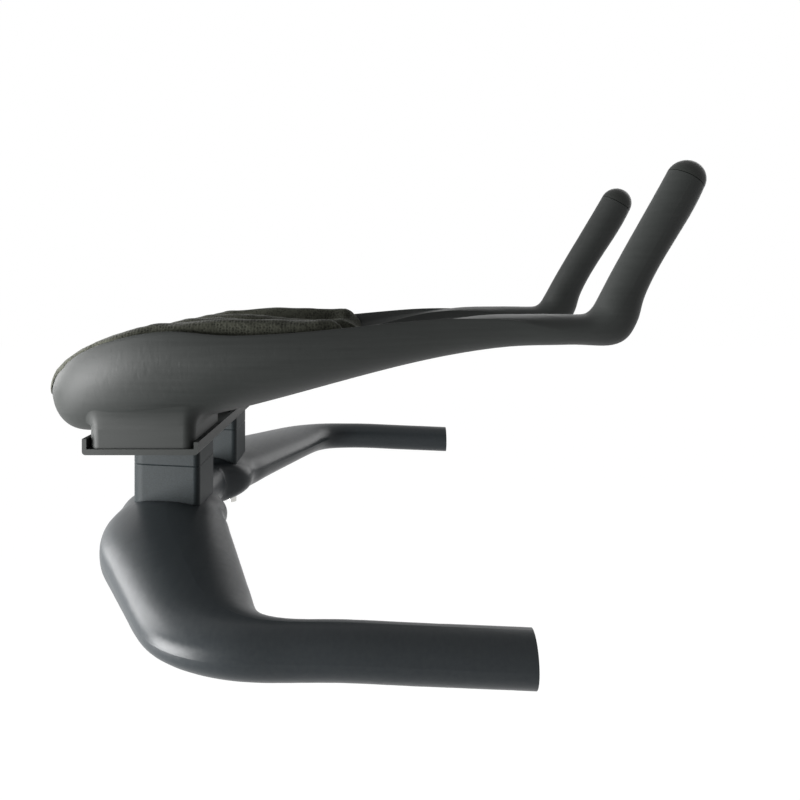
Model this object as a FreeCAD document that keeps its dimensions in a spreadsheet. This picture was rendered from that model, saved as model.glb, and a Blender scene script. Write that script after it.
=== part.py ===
"""Time trial handlebar: a swept base bar, riser stacks, a cross bridge and two moulded forearm extensions.

Millimetres. The origin is the centre of the stem clamp, +X points forwards, +Y to the rider's left and +Z up.
Left pieces are modelled and right pieces are their mirror images.
"""
import FreeCAD, Part
import Sketcher
import math
import os

Vector = FreeCAD.Vector
UP = Vector(0, 0, 1)

# Driving dimensions, each written once and kept in the sheet under its own name
SIZES = {
    # Base bar: round clamp zone, swept wing and horns
    "clamp_diameter": 31.8,
    "clamp_length": 46.0,
    "clamp_shoulder": 0.3,
    "wing_rear": -30.0,
    "wing_front": 29.0,
    "wing_top": 16.0,
    "wing_bottom": -15.6,
    "wing_root": 36.0,
    "rear_sweep_start": 94.0,
    "rear_sweep_angle": 30.5,
    "rear_sweep_radius": 110.0,
    "rear_bend_radius": 58.0,
    "front_sweep_start": 44.0,
    "front_sweep_angle": 18.3,
    "front_sweep_radius": 45.0,
    "front_bend_radius": 22.0,
    "horn_spacing": 400.0,
    "horn_diameter": 22.2,
    "horn_bore": 19.2,
    "horn_bore_depth": 75.0,
    "horn_start": 106.0,
    "horn_end": 183.5,
    "horn_end_height": -6.0,
    "horn_droop": 2.4,
    # Riser stacks
    "riser_spacing": 104.0,
    "riser_nose_width": 38.0,
    "riser_tail_width": 23.0,
    "riser_nose": 21.0,
    "riser_tail": -20.0,
    "riser_nose_radius": 3.0,
    "riser_tail_radius": 9.0,
    "thick_spacer_height": 20.0,
    "thin_spacer_height": 10.8,
    "spacer_edge": 0.4,
    "saddle_clearance": 0.1,
    # Cross bridge
    "bridge_rear": -38.0,
    "bridge_front": 25.0,
    "bridge_length": 177.0,
    "bridge_floor": 3.2,
    "bridge_lip": 2.4,
    "bridge_front_height": 7.0,
    "bridge_rear_height": 8.8,
    "bridge_outside_radius": 2.0,
    "bridge_inside_radius": 0.25,
    # Fasteners
    "bolt_diameter": 4.0,
    "bolt_head_diameter": 7.0,
    "bolt_head_height": 4.0,
    "bolt_socket": 3.0,
    "bolt_socket_depth": 2.0,
    "bolt_hole": 4.5,
    "bolt_pitch": 24.0,
    "riser_bolt_centre": 2.0,
    "washer_diameter": 9.0,
    "washer_thickness": 0.8,
    "washer_hole": 4.3,
    "spot_face_diameter": 11.0,
    "spot_face_depth": 0.8,
    "thread_clearance": 0.05,
    "nut_plate_length": 31.0,
    "nut_plate_width": 9.0,
    "nut_plate_thickness": 4.5,
    "nut_pocket_clearance": 0.4,
    "flat_head_diameter": 8.0,
    "flat_head_recess": 0.2,
    "flat_head_clearance": 0.1,
    "flat_socket": 2.5,
    "flat_socket_depth": 1.5,
    "extension_bolt_spacing": 158.0,
    "insert_diameter": 8.0,
    "insert_length": 11.0,
    "bond_gap": 0.1,
    # Forearm extension: heights are above the bridge floor, where its boss stands
    "extension_spacing": 120.0,
    "grip_base_spacing": 136.0,
    "scoop_rear": -63.5,
    "scoop_rear_height": 27.0,
    "scoop_full": 14.0,
    "scoop_half_width": 44.0,
    "scoop_rim": 63.0,
    "rim_dip": 62.0,
    "rim_dip_place": 66.0,
    "rim_crest": 69.5,
    "rim_crest_place": 160.0,
    "inner_rim_drop": 9.0,
    "rim_drop_start": 0.0,
    "rim_drop_end": 180.0,
    "scoop_belly": 5.8,
    "belly_start": -44.0,
    "belly_end": 220.0,
    "scoop_floor": 34.0,
    "floor_rise_start": 40.0,
    "floor_rise_end": 195.0,
    "scoop_wall": 4.0,
    "wall_fade_start": 100.0,
    "wall_fade_end": 190.0,
    "neck_half_width": 12.5,
    "neck_bottom": 54.8,
    "neck_top": 72.3,
    "neck_start": 226.0,
    "grip_diameter": 22.2,
    "grip_angle": 60.0,
    "grip_lean": 3.3,
    "grip_corner": 249.6,
    "grip_bend_radius": 20.0,
    "grip_heel": 18.0,
    "heel_relief": 3.2,
    "grip_crotch": 10.5,
    "grip_taper": 20.0,
    "grip_length": 87.6,
    "boss_spacing": 112.0,
    "boss_width": 63.0,
    "boss_height": 29.0,
    "boss_corner_radius": 6.0,
    "boss_side_gap": 0.3,
    # Grip end caps
    "cap_plug_diameter": 18.0,
    "cap_plug_length": 16.0,
    "cap_plug_clearance": 0.1,
    "cap_seam": 0.4,
    # Arm pads and the hook-and-loop sheets under them
    "pad_rear": -51.0,
    "pad_front": 110.0,
    "pad_thickness": 9.0,
    "pad_stand": 8.8,
    "pad_rear_stand": 5.0,
    "pad_stand_start": -51.0,
    "pad_stand_end": 40.0,
    "pad_front_fall": 3.0,
    "pad_fall_start": 50.0,
    "pad_end_round": 4.0,
    "fastener_rear": -28.0,
    "fastener_front": 80.0,
    "fastener_thickness": 1.2,
    "seat_gap": 0.3,
    "pad_gap": 0.6,
}

doc = FreeCAD.newDocument("time_trial_handlebar")
sheet = doc.addObject("Spreadsheet::Sheet", "sizes")
for row, (alias, value) in enumerate(SIZES.items(), start=1):
    sheet.set("A%d" % row, alias)
    sheet.set("B%d" % row, str(value))
    sheet.setAlias("B%d" % row, alias)
doc.recompute()


def size(alias):
    return float(sheet.get(alias))


def bind(thing, bindings):
    """Tie properties of a document object to cells of the sheet."""
    for prop, expression in bindings.items():
        thing.setExpression(prop, expression)


def feature(name, shape):
    """A document object that holds a shape made by Part's own functions."""
    thing = doc.addObject("Part::Feature", name)
    thing.Shape = shape
    return thing


def cylinder(name, bindings, base, axis=UP):
    """A cylinder with bound radius and height that stands on a point along an axis."""
    thing = doc.addObject("Part::Cylinder", name)
    bind(thing, bindings)
    thing.Placement = FreeCAD.Placement(base, FreeCAD.Rotation(UP, axis))
    return thing


def fuse(name, pieces):
    thing = doc.addObject("Part::MultiFuse", name)
    thing.Shapes = pieces
    return thing


def cut(name, base, tool):
    thing = doc.addObject("Part::Cut", name)
    thing.Base = base
    thing.Tool = tool
    return thing


def mirror(name, source):
    """The right-hand twin of a left piece."""
    thing = doc.addObject("Part::Mirroring", name)
    thing.Source = source
    thing.Normal = Vector(0, 1, 0)
    return thing


def group(name, source, places):
    """Like pieces in one node: a separate solid at each place."""
    copies = []
    for place in places:
        copy = source.Shape.copy()
        copy.translate(place)
        copies.append(copy)
    return feature(name, Part.makeCompound(copies))


def body_sketch(body, name, role, corners):
    """A closed profile of straight lines whose corners are bound, coordinate by coordinate, to the sheet."""
    sketch = body.newObject("Sketcher::SketchObject", name)
    plane = [item for item in body.Origin.OriginFeatures if item.Role == role][0]
    sketch.AttachmentSupport = [(plane, "")]
    sketch.MapMode = "FlatFace"
    values = [(doc_value(across), doc_value(along)) for across, along in corners]
    for index, (across, along) in enumerate(values):
        after = values[(index + 1) % len(values)]
        sketch.addGeometry(Part.LineSegment(Vector(across, along, 0), Vector(after[0], after[1], 0)))
    for index in range(len(values)):
        sketch.addConstraint(Sketcher.Constraint("Coincident", index, 2, (index + 1) % len(values), 1))
    for index, (across, along) in enumerate(corners):
        places = (("DistanceX", values[index][0], across), ("DistanceY", values[index][1], along))
        for kind, value, expression in places:
            number = sketch.addConstraint(Sketcher.Constraint(kind, index, 1, value))
            sketch.setExpression("Constraints[%d]" % number, expression)
    return sketch


def doc_value(expression):
    """The number that an expression on the sheet gives."""
    return float(sheet.evalExpression(expression.replace("sizes.", "")))


def pad_body(name, role, corners, length, bindings):
    """A body padded from a bound profile."""
    body = doc.addObject("PartDesign::Body", name)
    sketch = body_sketch(body, name + "_profile", role, corners)
    pad = body.newObject("PartDesign::Pad", name + "_pad")
    pad.Profile = sketch
    bind(pad, {"Length": length})
    for prop, value in bindings.items():
        setattr(pad, prop, value)
    doc.recompute()
    return body, pad


NEAR = 0.1
MOSTLY = 0.9


def is_along(component):
    """Whether one component of an edge's direction makes up most of it."""
    return abs(component) > MOSTLY


def edges_where(thing, test):
    """Names of the straight edges whose middle and direction pass a test."""
    names = []
    for number, edge in enumerate(thing.Shape.Edges, start=1):
        if edge.Curve.TypeId != "Part::GeomLine":
            continue
        middle = edge.valueAt((edge.FirstParameter + edge.LastParameter) / 2.0)
        direction = edge.tangentAt(edge.FirstParameter)
        if test(middle, direction):
            names.append("Edge%d" % number)
    return names


def fillet(body, name, base, edges, radius):
    """A fillet of bound radius on some edges of a body's last feature."""
    rounding = body.newObject("PartDesign::Fillet", name)
    rounding.Base = (base, edges)
    bind(rounding, {"Radius": radius})
    doc.recompute()
    return rounding


def chamfer(body, name, base, edges, depth):
    """A chamfer of bound depth on some edges of a body's last feature."""
    bevel = body.newObject("PartDesign::Chamfer", name)
    bevel.Base = (base, edges)
    bind(bevel, {"Size": depth})
    doc.recompute()
    return bevel


def closed_curve(points):
    """A closed smooth section through points, with even parameters so that like points line up."""
    curve = Part.BSplineCurve()
    steps = [float(index) for index in range(len(points) + 1)]
    curve.interpolate(Points=points, PeriodicFlag=True, Parameters=steps)
    return curve


SKIN_STRIPS = 4


def skin(sections):
    """A solid whose skin runs smoothly through closed sections of like points, with flat ends."""
    curves = [closed_curve(points) for points in sections]
    places = [0.0]
    for before, after in zip(sections, sections[1:]):
        steps = [first.distanceToPoint(second) for first, second in zip(before, after)]
        places.append(places[-1] + sum(steps) / len(steps))
    columns = []
    for poles in zip(*[curve.getPoles() for curve in curves]):
        line = Part.BSplineCurve()
        line.interpolate(Points=list(poles), Parameters=places)
        columns.append(line)
    surface = Part.BSplineSurface()
    surface.buildFromPolesMultsKnots(
        [line.getPoles() for line in columns],
        curves[0].getMultiplicities(), columns[0].getMultiplicities(),
        curves[0].getKnots(), columns[0].getKnots(),
        True, False, curves[0].Degree, columns[0].Degree)
    surface.setUNotPeriodic()
    around = len(sections[0])
    faces = []
    for strip in range(SKIN_STRIPS):
        patch = surface.copy()
        patch.segment(around * strip / SKIN_STRIPS, around * (strip + 1) / SKIN_STRIPS, places[0], places[-1])
        faces.append(patch.toShape())
    for place in (places[0], places[-1]):
        end = surface.vIso(place)
        edges = []
        for strip in range(SKIN_STRIPS):
            edges.append(end.toShape(around * strip / SKIN_STRIPS, around * (strip + 1) / SKIN_STRIPS))
        faces.append(Part.Face(Part.Wire(edges)))
    shell = Part.makeShell(faces)
    shell.sewShape()
    solid = Part.makeSolid(shell)
    if solid.Volume < 0:
        solid.reverse()
    return solid


def power(value, exponent):
    """A signed power, for the quarters of a rounded oval."""
    return math.copysign(abs(value) ** exponent, value)


def smooth_step(value):
    """Rises from 0 to 1 with level ends."""
    value = min(max(value, 0.0), 1.0)
    return value * value * (3.0 - 2.0 * value)


def between(start, end, share):
    return start + (end - start) * share


# Base bar: one moulding, lofted through sections that span the wing's front and rear edges
ROUND = 2.0
WING_POINTS = 24
ROOT_STEPS = 3
SWEEP_STEPS = 13
HORN_STEPS = 3
TOP_REAR_FULLNESS = 2.5
TOP_FRONT_FULLNESS = 2.1
BOTTOM_REAR_FULLNESS = 3.4
BOTTOM_FRONT_FULLNESS = 2.2
OVERRUN = 1.0

clamp_radius = size("clamp_diameter") / 2.0
clamp_half = size("clamp_length") / 2.0
horn_radius = size("horn_diameter") / 2.0
horn_y = size("horn_spacing") / 2.0
horn_slope = math.tan(math.radians(size("horn_droop")))


def horn_height(x):
    return size("horn_end_height") + (size("horn_end") - x) * horn_slope


def filleted_path(corners, radii):
    """A plan line of straight runs with an arc at each inner corner."""
    edges = []
    start = corners[0]
    for before, corner, after, radius in zip(corners, corners[1:], corners[2:], radii):
        inward = (before - corner).normalize()
        outward = (after - corner).normalize()
        half = inward.getAngle(outward) / 2.0
        reach = radius / math.tan(half)
        arc_start = corner + inward * reach
        arc_end = corner + outward * reach
        bisector = (inward + outward).normalize()
        arc_middle = corner + bisector * (radius / math.sin(half) - radius)
        edges.append(Part.LineSegment(start, arc_start).toShape())
        edges.append(Part.Arc(arc_start, arc_middle, arc_end).toShape())
        start = arc_end
    edges.append(Part.LineSegment(start, corners[-1]).toShape())
    return Part.Wire(edges)


def wing_edge(edge_x, sweep_start, sweep_angle, side_y, radii):
    """One edge of the left wing in plan, out along the sweep and forwards along the horn."""
    sweep = math.tan(math.radians(sweep_angle))
    root = Vector(edge_x, size("wing_root"), 0)
    turn = Vector(edge_x, sweep_start, 0)
    bend = Vector(edge_x + (side_y - sweep_start) * sweep, side_y, 0)
    tip = Vector(size("horn_start"), side_y, 0)
    return filleted_path([root, turn, bend, tip], radii)


def wing_section(rear, front, top, bottom, roundness):
    """A section between two points of the edges: full where roundness is 0, and an ellipse where it is 1."""
    centre = (rear + front) * 0.5
    half_chord = (front - rear) * 0.5
    middle = (top + bottom) / 2.0
    half_height = (top - bottom) / 2.0
    points = []
    for index in range(WING_POINTS):
        angle = 2.0 * math.pi * index / WING_POINTS
        across = math.cos(angle)
        upwards = math.sin(angle)
        if upwards >= 0:
            fullness = TOP_FRONT_FULLNESS if across > 0 else TOP_REAR_FULLNESS
        else:
            fullness = BOTTOM_FRONT_FULLNESS if across > 0 else BOTTOM_REAR_FULLNESS
        exponent = 2.0 / between(fullness, ROUND, roundness)
        point = centre + half_chord * power(across, exponent)
        point.z = middle + half_height * power(upwards, exponent)
        points.append(point)
    return points


def wing_sections():
    sections = []
    neck = clamp_radius - size("clamp_shoulder")
    for y in (clamp_half - OVERRUN, clamp_half):
        sections.append(wing_section(Vector(-neck, y, 0), Vector(neck, y, 0), neck, -neck, 1.0))
    for step in range(1, ROOT_STEPS):
        share = smooth_step(step / ROOT_STEPS)
        y = between(clamp_half, size("wing_root"), step / ROOT_STEPS)
        rear = Vector(between(-neck, size("wing_rear"), share), y, 0)
        front = Vector(between(neck, size("wing_front"), share), y, 0)
        top = between(neck, size("wing_top"), share)
        bottom = between(-neck, size("wing_bottom"), share)
        sections.append(wing_section(rear, front, top, bottom, 1.0 - share))
    rear_edge = wing_edge(size("wing_rear"), size("rear_sweep_start"), size("rear_sweep_angle"),
                          horn_y + horn_radius, [size("rear_sweep_radius"), size("rear_bend_radius")])
    front_edge = wing_edge(size("wing_front"), size("front_sweep_start"), size("front_sweep_angle"),
                           horn_y - horn_radius, [size("front_sweep_radius"), size("front_bend_radius")])
    axis_z = horn_height(size("horn_start"))
    rear_points = rear_edge.discretize(Number=SWEEP_STEPS + 1)
    front_points = front_edge.discretize(Number=SWEEP_STEPS + 1)
    for step, (rear, front) in enumerate(zip(rear_points, front_points)):
        share = smooth_step(step / SWEEP_STEPS)
        top = between(size("wing_top"), axis_z + horn_radius, share)
        bottom = between(size("wing_bottom"), axis_z - horn_radius, share)
        sections.append(wing_section(rear, front, top, bottom, share))
    for step in range(1, HORN_STEPS + 1):
        x = between(size("horn_start"), size("horn_end"), step / HORN_STEPS)
        rear = Vector(x, horn_y + horn_radius, 0)
        front = Vector(x, horn_y - horn_radius, 0)
        top = horn_height(x) + horn_radius
        bottom = horn_height(x) - horn_radius
        sections.append(wing_section(rear, front, top, bottom, 1.0))
    return sections


riser_y = size("riser_spacing") / 2.0
bolt_x = size("bolt_pitch") / 2.0
washer_top = size("wing_bottom") + size("spot_face_depth")
washer_bottom = washer_top - size("washer_thickness")
bridge_bottom = size("wing_top") + size("thick_spacer_height") + size("thin_spacer_height")
deck = bridge_bottom + size("bridge_floor")
riser_x = size("riser_bolt_centre")
riser_places = [Vector(riser_x + x, y, 0) for y in (-riser_y, riser_y) for x in (-bolt_x, bolt_x)]


def hole_set(name, places, bottom, depth, radius):
    """Upright holes of one size."""
    holes = []
    for number, place in enumerate(places):
        base = Vector(place.x, place.y, bottom)
        holes.append(cylinder("%s_%d" % (name, number), {"Radius": radius, "Height": depth}, base))
    return holes


left_wing = feature("left_wing", skin(wing_sections()))
right_wing = mirror("right_wing", left_wing)
clamp_zone = cylinder("clamp_zone", {"Radius": "sizes.clamp_diameter / 2", "Height": "sizes.clamp_length"},
                      Vector(0, -clamp_half, 0), Vector(0, 1, 0))
bar_blank = fuse("bar_blank", [left_wing, clamp_zone, right_wing])

horn_droop = math.radians(size("horn_droop"))
horn_direction = Vector(-math.cos(horn_droop), 0, math.sin(horn_droop))
horn_end = Vector(size("horn_end"), horn_y, size("horn_end_height"))
bore_size = {"Radius": "sizes.horn_bore / 2", "Height": "sizes.horn_bore_depth + %g" % OVERRUN}
left_bore = cylinder("left_horn_bore", bore_size, horn_end - horn_direction * OVERRUN, horn_direction)
right_bore = mirror("right_horn_bore", left_bore)
bar_holes = hole_set("bar_hole", riser_places, size("wing_bottom") - OVERRUN,
                     "sizes.wing_top - sizes.wing_bottom + %g" % (2.0 * OVERRUN), "sizes.bolt_hole / 2")
spot_faces = hole_set("spot_face", riser_places, size("wing_bottom") - OVERRUN,
                      "sizes.spot_face_depth + %g" % OVERRUN, "sizes.spot_face_diameter / 2")
bar_tools = fuse("bar_tools", [left_bore, right_bore] + bar_holes + spot_faces)
base_bar = cut("base_bar", bar_blank, bar_tools)

# Riser stacks: blocks with a round nose, the lower one hollowed underneath to sit on the wing
left_places = [place for place in riser_places if place.y > 0]


def riser_block(name, bottom, depth, seams):
    """A block with the riser's plan, from a height up, with bevelled edges where it meets other pieces."""
    middle_y = "sizes.riser_spacing / 2 "
    corners = [
        ("sizes.riser_tail", middle_y + "- sizes.riser_tail_width / 2"),
        ("sizes.riser_nose", middle_y + "- sizes.riser_nose_width / 2"),
        ("sizes.riser_nose", middle_y + "+ sizes.riser_nose_width / 2"),
        ("sizes.riser_tail", middle_y + "+ sizes.riser_tail_width / 2"),
    ]
    body, block = pad_body(name, "XY_Plane", corners, depth, {})
    middle_x = (size("riser_nose") + size("riser_tail")) / 2.0
    nose = edges_where(block, lambda middle, way: is_along(way.z) and middle.x > middle_x)
    rounded = fillet(body, name + "_nose", block, nose, "sizes.riser_nose_radius")
    tail_x = size("riser_tail") + NEAR
    tail = edges_where(rounded, lambda middle, way: is_along(way.z) and middle.x < tail_x)
    rounded = fillet(body, name + "_tail", rounded, tail, "sizes.riser_tail_radius")
    rims = edges_where(rounded, lambda middle, way: min(abs(middle.z - seam) for seam in seams) < NEAR)
    chamfer(body, name + "_edges", rounded, rims, "sizes.spacer_edge")
    body.Placement.Base = Vector(0, 0, bottom)
    return body


seam = size("wing_top") + size("thick_spacer_height")
thick_block = riser_block("thick_block", 0.0, "sizes.wing_top + sizes.thick_spacer_height", [seam])
thin_top = size("thin_spacer_height")
thin_block = riser_block("thin_block", seam, "sizes.thin_spacer_height", [0.0, thin_top])
raised_wing = left_wing.Shape.copy()
raised_wing.translate(UP * size("saddle_clearance"))
saddle_tool = feature("saddle_tool", raised_wing)
thick_depth = "sizes.wing_top + sizes.thick_spacer_height + %g" % (2.0 * OVERRUN)
thin_depth = "sizes.thin_spacer_height + %g" % (2.0 * OVERRUN)
thick_holes = hole_set("thick_hole", left_places, -OVERRUN, thick_depth, "sizes.bolt_hole / 2")
thin_holes = hole_set("thin_hole", left_places, seam - OVERRUN, thin_depth, "sizes.bolt_hole / 2")
left_thick = cut("left_thick_spacer", thick_block, fuse("thick_tools", [saddle_tool] + thick_holes))
left_thin = cut("left_thin_spacer", thin_block, fuse("thin_tools", thin_holes))
right_thick = mirror("right_thick_spacer", left_thick)
right_thin = mirror("right_thin_spacer", left_thin)

# Cross bridge: a channel plate with upturned lips, padded across the bar
bottom_z = "(sizes.wing_top + sizes.thick_spacer_height + sizes.thin_spacer_height)"
floor_z = bottom_z + " + sizes.bridge_floor"
front_z = bottom_z + " + sizes.bridge_front_height"
rear_z = bottom_z + " + sizes.bridge_rear_height"
channel = [
    ("sizes.bridge_rear", bottom_z),
    ("sizes.bridge_front", bottom_z),
    ("sizes.bridge_front", front_z),
    ("sizes.bridge_front - sizes.bridge_lip", front_z),
    ("sizes.bridge_front - sizes.bridge_lip", floor_z),
    ("sizes.bridge_rear + sizes.bridge_lip", floor_z),
    ("sizes.bridge_rear + sizes.bridge_lip", rear_z),
    ("sizes.bridge_rear", rear_z),
]
bridge_length = "sizes.bridge_length"
bridge_body, bridge_pad = pad_body("bridge_blank", "XZ_Plane", channel, bridge_length, {"Midplane": True})
outside = edges_where(bridge_pad, lambda middle, way: is_along(way.y) and middle.z < bridge_bottom + NEAR)
bridge_round = fillet(bridge_body, "bridge_outside", bridge_pad, outside, "sizes.bridge_outside_radius")
inside = edges_where(bridge_round, lambda middle, way: is_along(way.y) and abs(middle.z - deck) < NEAR)
fillet(bridge_body, "bridge_inside", bridge_round, inside, "sizes.bridge_inside_radius")

extension_y = size("extension_spacing") / 2.0
boss_rear = size("bridge_rear") + size("bridge_lip") + size("boss_side_gap")
boss_front = size("bridge_front") - size("bridge_lip") - size("boss_side_gap")
boss_x = (boss_rear + boss_front) / 2.0
extension_bolt_y = size("extension_bolt_spacing") / 2.0
extension_places = [
    Vector(boss_x + x, y, 0) for y in (-extension_bolt_y, extension_bolt_y) for x in (-bolt_x, bolt_x)]
bridge_holes = hole_set("bridge_hole", riser_places + extension_places, bridge_bottom - OVERRUN,
                        "sizes.bridge_floor + %g" % (2.0 * OVERRUN), "sizes.bolt_hole / 2")
countersinks = []
sink_mouth = "sizes.flat_head_diameter / 2 + sizes.flat_head_recess + sizes.flat_head_clearance"
sink_mouth = "(%s + %g)" % (sink_mouth, OVERRUN)
sink_depth = sink_mouth + " - sizes.bolt_hole / 2"
for number, place in enumerate(extension_places):
    sink = doc.addObject("Part::Cone", "countersink_%d" % number)
    bind(sink, {"Radius1": sink_mouth, "Radius2": "sizes.bolt_hole / 2", "Height": sink_depth})
    sink.Placement.Base = Vector(place.x, place.y, bridge_bottom - OVERRUN)
    countersinks.append(sink)
cross_bridge = cut("cross_bridge", bridge_body, fuse("bridge_tools", bridge_holes + countersinks))

# Socket cap bolts, washers, nut plates and inserts
nut_top = deck + size("nut_plate_thickness")
insert_top = deck + size("insert_length")


def shank(name, bottom, tip):
    """The plain cylinder that stands for a bolt's thread."""
    thing = doc.addObject("Part::Cylinder", name + "_shank")
    bind(thing, {"Radius": "sizes.bolt_diameter / 2"})
    thing.Height = tip - bottom
    thing.Placement.Base = Vector(0, 0, bottom)
    return thing


def hex_socket(name, across_flats, depth, bottom):
    """The hexagonal hole for a key, up into a head."""
    thing = doc.addObject("Part::Prism", name + "_socket")
    thing.Polygon = 6
    bind(thing, {"Circumradius": across_flats + " / 2 / cos(30)", "Height": depth + " + %g" % OVERRUN})
    thing.Placement.Base = Vector(0, 0, bottom - OVERRUN)
    return thing


def socket_bolt(name, head_top, tip):
    """A socket cap bolt that points up, with its head under a height and its tip at another."""
    head_bottom = head_top - size("bolt_head_height")
    head_size = {"Radius": "sizes.bolt_head_diameter / 2", "Height": "sizes.bolt_head_height"}
    head = cylinder(name + "_head", head_size, Vector(0, 0, head_bottom))
    socket = hex_socket(name, "sizes.bolt_socket", "sizes.bolt_socket_depth", head_bottom)
    return cut(name, fuse(name + "_blank", [shank(name, head_bottom, tip), head]), socket)


def flat_screw(name, head_bottom, tip):
    """A flat-headed screw that points up from its head's underside to its tip."""
    head = doc.addObject("Part::Cone", name + "_head")
    bind(head, {"Radius1": "sizes.flat_head_diameter / 2", "Radius2": "sizes.bolt_diameter / 2",
                "Height": "(sizes.flat_head_diameter - sizes.bolt_diameter) / 2"})
    head.Placement.Base = Vector(0, 0, head_bottom)
    socket = hex_socket(name, "sizes.flat_socket", "sizes.flat_socket_depth", head_bottom)
    return cut(name, fuse(name + "_blank", [shank(name, head_bottom, tip), head]), socket)


def ring(name, bottom, outer, inner, depth):
    """A washer or sleeve from a height up."""
    blank = cylinder(name + "_blank", {"Radius": outer, "Height": depth}, Vector(0, 0, bottom))
    hole_size = {"Radius": inner, "Height": depth + " + %g" % (2.0 * OVERRUN)}
    hole = cylinder(name + "_hole", hole_size, Vector(0, 0, bottom - OVERRUN))
    return cut(name, blank, hole)


thread_radius = "sizes.bolt_diameter / 2 + sizes.thread_clearance"
riser_bolt = socket_bolt("riser_bolt", washer_bottom, nut_top)
screw_bottom = bridge_bottom + size("flat_head_recess")
extension_screw = flat_screw("extension_screw", screw_bottom, insert_top - OVERRUN)
riser_washer = ring("riser_washer", washer_bottom, "sizes.washer_diameter / 2", "sizes.washer_hole / 2",
                    "sizes.washer_thickness")
insert = ring("insert", deck, "sizes.insert_diameter / 2", thread_radius, "sizes.insert_length")

nut_blank = doc.addObject("Part::Box", "nut_blank")
bind(nut_blank, {"Length": "sizes.nut_plate_length", "Width": "sizes.nut_plate_width",
                 "Height": "sizes.nut_plate_thickness"})
nut_corner = Vector(riser_x - size("nut_plate_length") / 2.0, riser_y - size("nut_plate_width") / 2.0, deck)
nut_blank.Placement.Base = nut_corner
nut_holes = hole_set("nut_hole", left_places, deck - OVERRUN,
                     "sizes.nut_plate_thickness + %g" % (2.0 * OVERRUN), thread_radius)
left_nut = cut("left_nut_plate", nut_blank, fuse("nut_tools", nut_holes))
right_nut = mirror("right_nut_plate", left_nut)
doc.recompute()

riser_bolts = group("riser_bolts", riser_bolt, riser_places)
riser_washers = group("riser_bolt_washers", riser_washer, riser_places)
extension_screws = group("extension_screws", extension_screw, extension_places)
extension_inserts = group("extension_inserts", insert, extension_places)

# Forearm extension: one moulding, lofted through sections that change from a scoop to a round grip
ARC_POINTS = 13
REAR_STEPS = 7
TAPER_STEPS = 9
BEND_STEPS = 4
GRIP_STEPS = 3
SCOOP_FULLNESS = 2.3
PLAN_FULLNESS = 2.2
RIM_FULLNESS = 1.68
TIP_SHARE = 0.004
HEEL_RELIEF_POWER = 6.0
WALL_TAPER = 2.0

neck_middle = (size("neck_bottom") + size("neck_top")) / 2.0
neck_half = (size("neck_top") - size("neck_bottom")) / 2.0
grip_radius = size("grip_diameter") / 2.0
scoop_length = size("scoop_full") - size("scoop_rear")


def quarter(share, fullness):
    """The height of a rounded quarter, from 1 at share 0 down to 0 at share 1."""
    return max(1.0 - max(share, 0.0) ** fullness, 0.0) ** (1.0 / fullness)


def rim_line():
    """The side view of the rim ahead of the scoop's full width."""
    points = [
        Vector(size("scoop_full"), 0, size("scoop_rim")),
        Vector(size("rim_dip_place"), 0, size("rim_dip")),
        Vector(size("rim_crest_place"), 0, size("rim_crest")),
        Vector(size("neck_start"), 0, neck_middle),
    ]
    line = Part.BSplineCurve()
    line.interpolate(Points=points, Parameters=[point.x for point in points])
    return line


rim_curve = rim_line()


def rim_height(x):
    if x >= size("scoop_full"):
        return rim_curve.value(x).z
    share = (size("scoop_full") - x) / scoop_length
    return between(size("scoop_rear_height"), size("scoop_rim"), quarter(share, RIM_FULLNESS))


def half_width(x):
    if x >= size("scoop_full"):
        share = smooth_step((x - size("scoop_full")) / (size("neck_start") - size("scoop_full")))
        return between(size("scoop_half_width"), size("neck_half_width"), share)
    return size("scoop_half_width") * quarter((size("scoop_full") - x) / scoop_length, PLAN_FULLNESS)


def belly_height(x):
    if x >= size("belly_start"):
        share = smooth_step((x - size("belly_start")) / (size("belly_end") - size("belly_start")))
        return between(size("scoop_belly"), size("neck_bottom"), share)
    share = (size("belly_start") - x) / (size("belly_start") - size("scoop_rear"))
    return between(size("scoop_rear_height"), size("scoop_belly"), quarter(share, ROUND))


def middle_height(x):
    """The floor of the scoop on its centre line, which rises to become the top of the neck."""
    if x >= size("scoop_full"):
        rise_length = size("floor_rise_end") - size("floor_rise_start")
        share = smooth_step((x - size("floor_rise_start")) / rise_length)
        return between(size("scoop_floor"), size("neck_top"), share)
    share = (size("scoop_full") - x) / (scoop_length - size("scoop_wall"))
    return rim_height(x) - (size("scoop_rim") - size("scoop_floor")) * quarter(share, ROUND)


def wall(x):
    fade = smooth_step((x - size("wall_fade_start")) / (size("wall_fade_end") - size("wall_fade_start")))
    taper = half_width(x) / size("scoop_half_width") * WALL_TAPER
    return size("scoop_wall") * (1.0 - fade) * min(1.0, taper)


def rim_drop(x):
    """How far the inner rim lies below the outer one."""
    share = (x - size("rim_drop_start")) / (size("rim_drop_end") - size("rim_drop_start"))
    return size("inner_rim_drop") * math.sin(math.pi * min(max(share, 0.0), 1.0)) ** 2


def fullness_at(x):
    fade = smooth_step((x - size("wall_fade_start")) / (size("neck_start") - size("wall_fade_start")))
    return between(SCOOP_FULLNESS, ROUND, fade)


def centre_y(x):
    share = smooth_step((x - size("scoop_full")) / (size("neck_start") - size("scoop_full")))
    return between(extension_y, size("grip_base_spacing") / 2.0, share)


def arc(width, depth, fullness):
    """Points of a rounded half, from the outer side to the inner side; a negative depth arches upwards."""
    points = []
    for index in range(1, ARC_POINTS + 1):
        angle = math.pi * index / (ARC_POINTS + 1)
        across = width * power(math.cos(angle), 2.0 / fullness)
        points.append((across, -depth * power(math.sin(angle), 2.0 / fullness)))
    return points


def lower_arc(x):
    return arc(half_width(x), rim_height(x) - belly_height(x), fullness_at(x))


def upper_arc(x):
    return arc(half_width(x) - wall(x), rim_height(x) - middle_height(x), fullness_at(x))


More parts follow.
